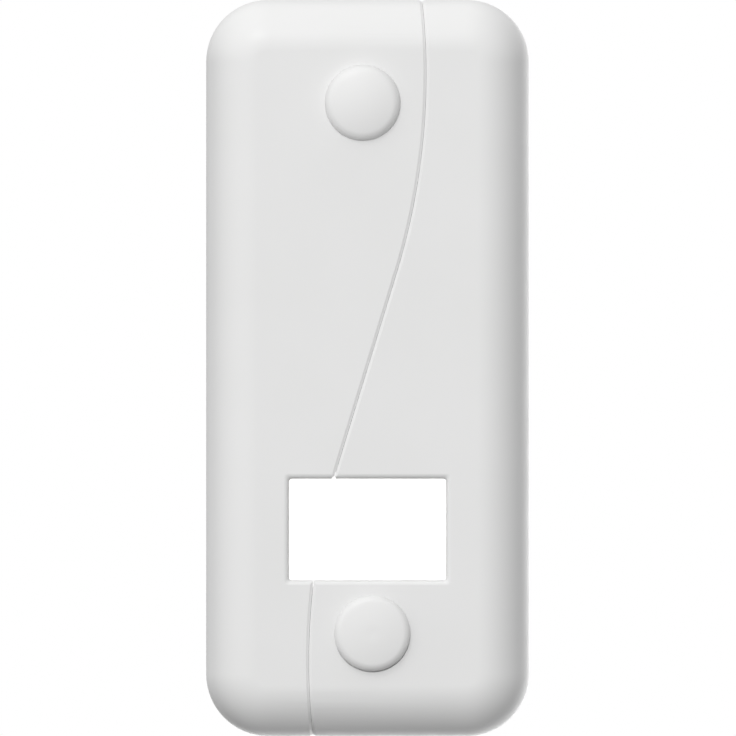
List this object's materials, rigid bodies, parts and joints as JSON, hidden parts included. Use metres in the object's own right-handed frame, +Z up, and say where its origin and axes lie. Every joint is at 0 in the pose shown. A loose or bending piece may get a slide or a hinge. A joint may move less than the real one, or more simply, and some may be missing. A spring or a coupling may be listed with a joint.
{
  "type": "video doorbell",
  "caption": "Tall rounded wall-mounted doorbell with covers that meet on an S-shaped seam, a round bell push, a lit name window and a camera under a round pull-off cap.",
  "frame": {"origin": "the centre of the wall bracket's rear face, which lies on the wall", "axes": "+Z up, +X to the right seen from the front, the front faces -Y, and +Y points out of the back into the wall"},
  "size_m": [0.0604, 0.0276, 0.138],
  "materials": {
    "white_plastic": "satin moulded",
    "housing_plastic": "fine moulded texture",
    "black_plastic": "satin moulded",
    "natural_plastic": "natural acetal",
    "clear_plastic": "clear polished",
    "optical_glass": "coated and polished",
    "white_card": "matt white sheet",
    "led_resin": "phosphor resin in a white package",
    "silicone": "moulded",
    "foam": "closed-cell foam",
    "zinc_steel": "bright zinc plate",
    "spring_steel": "drawn, oiled",
    "brass": "nickel-free, machined",
    "circuit_board": "green solder resist on glass laminate",
    "shield_tin": "tinned sheet",
    "amber_film": "polyimide film",
    "cone_film": "thin moulded film"
  },
  "bodies": {
    "housing": {"left_front_cover": "white_plastic", "right_front_cover": "white_plastic", "card_frame": "white_plastic", "rear_housing": "housing_plastic", "wall_bracket": "housing_plastic", "camera_bezel": "black_plastic", "lens_barrel": "black_plastic", "lens_holder": "black_plastic", "image_sensor": "black_plastic", "switch_base": "black_plastic", "power_coil": "black_plastic", "speaker_frame": "black_plastic", "button_guide": "natural_plastic", "flex_connector": "natural_plastic", "name_window": "clear_plastic", "light_guide": "clear_plastic", "camera_glass": "optical_glass", "front_lens": "optical_glass", "name_card": "white_card", "name_led_left": "led_resin", "name_led_centre": "led_resin", "name_led_right": "led_resin", "camera_gasket": "silicone", "cover_gasket": "silicone", "microphone_boot": "silicone", "speaker_foam": "foam", "camera_screw_1": "zinc_steel", "camera_screw_2": "zinc_steel", "guide_screw_1": "zinc_steel", "guide_screw_2": "zinc_steel", "cover_screw_1": "zinc_steel", "cover_screw_2": "zinc_steel", "cover_screw_3": "zinc_steel", "cover_screw_4": "zinc_steel", "cover_screw_5": "zinc_steel", "cover_screw_6": "zinc_steel", "board_screw_1": "zinc_steel", "board_screw_2": "zinc_steel", "board_screw_3": "zinc_steel", "board_screw_4": "zinc_steel", "security_screw": "zinc_steel", "speaker_magnet": "zinc_steel", "button_spring": "spring_steel", "terminal_screw_1": "brass", "terminal_screw_2": "brass", "terminal_post_1": "brass", "terminal_post_2": "brass", "camera_board": "circuit_board", "main_board": "circuit_board", "wifi_antenna": "circuit_board", "processor_shield": "shield_tin", "microphone": "shield_tin", "storage_capacitor": "shield_tin", "camera_flex": "amber_film", "speaker_cone": "cone_film"},
    "bell_push": {"bell_button": "white_plastic", "button_clip": "spring_steel"},
    "switch_plunger": {"switch_plunger": "natural_plastic"},
    "camera_cap": {"camera_cap": "white_plastic"}
  },
  "joints": [
    {"name": "bell_press", "type": "slide", "parent": "housing", "child": "bell_push", "axis": [0, 1, 0], "range_m": [0, 0.0008], "stiffness_N_per_m": 400, "springref_m": -0.004, "deforming": ["button_spring"]},
    {"name": "switch_press", "type": "slide", "parent": "housing", "child": "switch_plunger", "axis": [0, 1, 0], "range_m": [0, 0.0008]},
    {"name": "cap_pull", "type": "slide", "parent": "housing", "child": "camera_cap", "axis": [0, -1, 0], "range_m": [0, 0.012]}
  ],
  "couplings": [
    {"joint": "switch_press", "follows": "bell_press", "ratio": 1}
  ]
}
